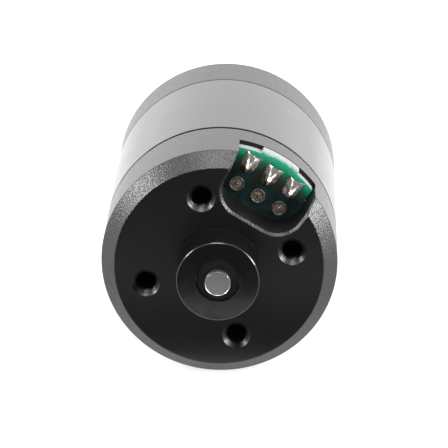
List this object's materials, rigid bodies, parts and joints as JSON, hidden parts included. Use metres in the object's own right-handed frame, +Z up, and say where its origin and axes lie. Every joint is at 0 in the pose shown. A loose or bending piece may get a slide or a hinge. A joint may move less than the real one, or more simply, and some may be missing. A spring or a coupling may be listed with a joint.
{
  "type": "brushless motor",
  "caption": "Small round brushless outrunner motor with a black base, tapped mounting face, boss with shaft end, rim pocket with solder pads, and a turning can.",
  "frame": {"origin": "on the motor's axis, in the plane of the mounting face", "axes": "+Y along the axis from the mounting face into the motor, +Z up and +X to the right as seen facing the mounting face"},
  "size_m": [0.03, 0.0448, 0.03],
  "materials": {
    "black_anodised": "bead-blasted, black anodised",
    "smooth_black": "smooth black, satin",
    "board_green": "green solder mask on glass epoxy",
    "solder": "tin-silver solder, frozen",
    "plated_brass": "plated and dulled by flux",
    "clear_resin": "clear potting resin",
    "ground_steel": "ground",
    "black_steel": "black oxide spring steel",
    "core_steel": "stamped laminations",
    "insulator": "moulded",
    "enamelled_copper": "enamelled wire",
    "magnet_nickel": "nickel plated",
    "bearing_steel": "polished"
  },
  "bodies": {
    "stator": {"base_housing": "black_anodised", "circuit_board": "board_green", "solder_joint_1": "solder", "phase_eyelet_1": "plated_brass", "solder_joint_2": "solder", "phase_eyelet_2": "plated_brass", "solder_joint_3": "solder", "phase_eyelet_3": "plated_brass", "potting_resin": "clear_resin", "stator_core": "core_steel", "insulator_front": "insulator", "insulator_rear": "insulator", "coil_01": "enamelled_copper", "coil_02": "enamelled_copper", "coil_03": "enamelled_copper", "coil_04": "enamelled_copper", "coil_05": "enamelled_copper", "coil_06": "enamelled_copper", "coil_07": "enamelled_copper", "coil_08": "enamelled_copper", "coil_09": "enamelled_copper", "coil_10": "enamelled_copper", "coil_11": "enamelled_copper", "coil_12": "enamelled_copper", "front_bearing_outer_race": "bearing_steel", "front_bearing_shield_near": "bearing_steel", "front_bearing_shield_far": "bearing_steel", "rear_bearing_outer_race": "bearing_steel", "rear_bearing_shield_near": "bearing_steel", "rear_bearing_shield_far": "bearing_steel", "bearing_spacer": "smooth_black", "wave_washer": "ground_steel"},
    "rotor": {"shaft": "ground_steel", "retaining_clip": "black_steel", "shim_front": "ground_steel", "hub_spacer": "ground_steel", "front_bearing_inner_race": "bearing_steel", "rear_bearing_inner_race": "bearing_steel", "flux_ring": "smooth_black", "magnet_01": "magnet_nickel", "magnet_02": "magnet_nickel", "magnet_03": "magnet_nickel", "magnet_04": "magnet_nickel", "magnet_05": "magnet_nickel", "magnet_06": "magnet_nickel", "magnet_07": "magnet_nickel", "magnet_08": "magnet_nickel", "magnet_09": "magnet_nickel", "magnet_10": "magnet_nickel", "magnet_11": "magnet_nickel", "magnet_12": "magnet_nickel", "magnet_13": "magnet_nickel", "magnet_14": "magnet_nickel", "bell": "black_anodised"},
    "front_ball_set": {"front_bearing_balls": "bearing_steel"},
    "rear_ball_set": {"rear_bearing_balls": "bearing_steel"}
  },
  "joints": [
    {"name": "rotor_spin", "type": "hinge", "parent": "stator", "child": "rotor", "pos_m": [0, 0, 0], "axis": [0, 1, 0], "continuous": true},
    {"name": "front_cage_roll", "type": "hinge", "parent": "stator", "child": "front_ball_set", "pos_m": [0, -0.0021, 0], "axis": [0, 1, 0], "continuous": true},
    {"name": "rear_cage_roll", "type": "hinge", "parent": "stator", "child": "rear_ball_set", "pos_m": [0, 0.0268, 0], "axis": [0, 1, 0], "continuous": true}
  ],
  "couplings": [
    {"joint": "front_cage_roll", "follows": "rotor_spin", "ratio": 0.3651},
    {"joint": "rear_cage_roll", "follows": "rotor_spin", "ratio": 0.3651}
  ]
}
